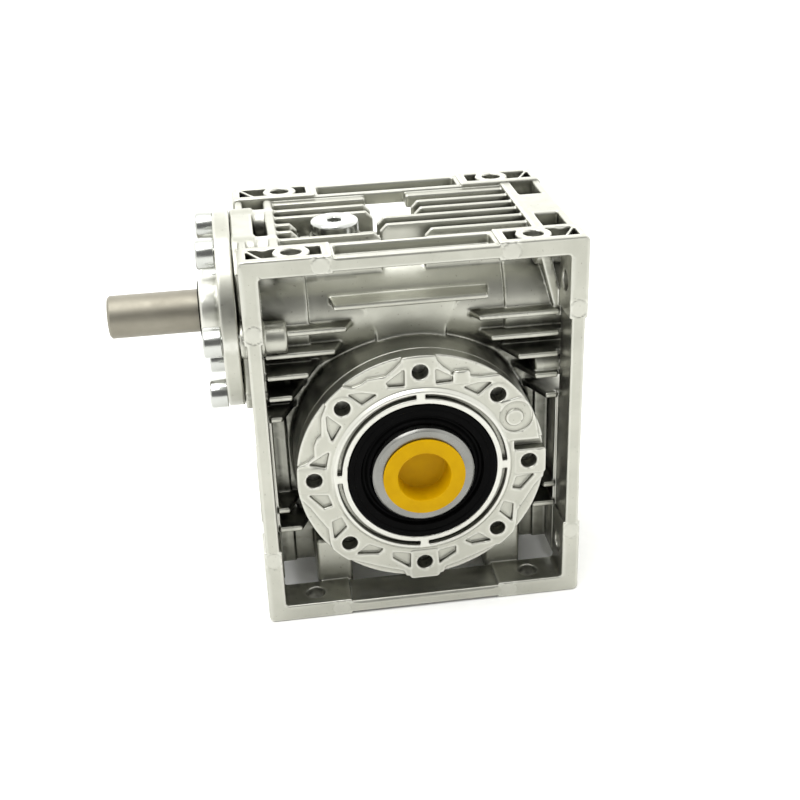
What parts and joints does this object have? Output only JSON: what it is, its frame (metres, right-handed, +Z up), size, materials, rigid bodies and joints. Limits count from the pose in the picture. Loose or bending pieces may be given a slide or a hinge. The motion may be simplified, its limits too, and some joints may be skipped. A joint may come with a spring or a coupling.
{
  "type": "worm gearbox",
  "caption": "Worm gear reducer in a finned square aluminium frame, with a solid input shaft at the side and a capped hollow output shaft through a flanged barrel.",
  "frame": {"origin": "middle of the whole length and depth, on the face that the feet stand on", "axes": "+Z up, +Y along the output shaft away from the face seen from the front, -X along the input shaft, towards its free end"},
  "size_m": [0.202, 0.1154, 0.1785],
  "materials": {
    "cast_aluminium": "as-cast, lightly blasted, machined faces",
    "zinc_steel": "bright zinc plate",
    "ground_steel": "ground",
    "bearing_steel": "polished",
    "black_rubber": "moulded, satin",
    "bronze": "hobbed",
    "hub_iron": "turned",
    "yellow_plastic": "moulded",
    "washer_fibre": "pressed fibre"
  },
  "bodies": {
    "casing": {"housing": "cast_aluminium", "rear_cover": "cast_aluminium", "cover_seal_ring": "black_rubber", "cover_screw_1": "zinc_steel", "cover_screw_2": "zinc_steel", "cover_screw_3": "zinc_steel", "cover_screw_4": "zinc_steel", "cover_screw_5": "zinc_steel", "cover_screw_6": "zinc_steel", "cover_screw_7": "zinc_steel", "cover_screw_8": "zinc_steel", "input_flange": "cast_aluminium", "input_screw_1": "zinc_steel", "input_screw_2": "zinc_steel", "input_screw_3": "zinc_steel", "input_screw_4": "zinc_steel", "input_screw_5": "zinc_steel", "input_screw_6": "zinc_steel", "drive_end_bearing_outer_ring": "bearing_steel", "blind_end_bearing_outer_ring": "bearing_steel", "front_bearing_outer_ring": "bearing_steel", "rear_bearing_outer_ring": "bearing_steel", "front_oil_seal": "black_rubber", "rear_oil_seal": "black_rubber", "input_oil_seal": "black_rubber", "blind_end_circlip": "ground_steel", "blind_end_cap": "black_rubber", "filler_plug": "zinc_steel", "filler_washer": "washer_fibre"},
    "output": {"output_hub": "hub_iron", "worm_wheel_rim": "bronze", "front_bearing_inner_ring": "bearing_steel", "rear_bearing_inner_ring": "bearing_steel", "front_bore_cap": "yellow_plastic", "rear_bore_cap": "yellow_plastic"},
    "worm": {"worm_shaft": "ground_steel", "shaft_key": "ground_steel", "drive_end_bearing_inner_ring": "bearing_steel", "blind_end_bearing_inner_ring": "bearing_steel"},
    "front_cage": {"front_bearing_balls_and_cage": "bearing_steel"},
    "rear_cage": {"rear_bearing_balls_and_cage": "bearing_steel"},
    "drive_end_cage": {"drive_end_bearing_balls_and_cage": "bearing_steel"},
    "blind_end_cage": {"blind_end_bearing_balls_and_cage": "bearing_steel"}
  },
  "joints": [
    {"name": "output_spin", "type": "hinge", "parent": "casing", "child": "output", "pos_m": [0.029, 0, 0.072], "axis": [0, 1, 0], "continuous": true},
    {"name": "worm_spin", "type": "hinge", "parent": "casing", "child": "worm", "pos_m": [0.029, 0, 0.135], "axis": [1, 0, 0], "continuous": true},
    {"name": "front_cage_spin", "type": "hinge", "parent": "casing", "child": "front_cage", "pos_m": [0.029, 0, 0.072], "axis": [0, 1, 0], "continuous": true},
    {"name": "rear_cage_spin", "type": "hinge", "parent": "casing", "child": "rear_cage", "pos_m": [0.029, 0, 0.072], "axis": [0, 1, 0], "continuous": true},
    {"name": "drive_end_cage_spin", "type": "hinge", "parent": "casing", "child": "drive_end_cage", "pos_m": [0.029, 0, 0.135], "axis": [1, 0, 0], "continuous": true},
    {"name": "blind_end_cage_spin", "type": "hinge", "parent": "casing", "child": "blind_end_cage", "pos_m": [0.029, 0, 0.135], "axis": [1, 0, 0], "continuous": true}
  ],
  "couplings": [
    {"joint": "worm_spin", "follows": "output_spin", "ratio": -30},
    {"joint": "front_cage_spin", "follows": "output_spin", "ratio": 0.4321},
    {"joint": "rear_cage_spin", "follows": "output_spin", "ratio": 0.4321},
    {"joint": "drive_end_cage_spin", "follows": "output_spin", "ratio": -11.786},
    {"joint": "blind_end_cage_spin", "follows": "output_spin", "ratio": -11.786}
  ]
}
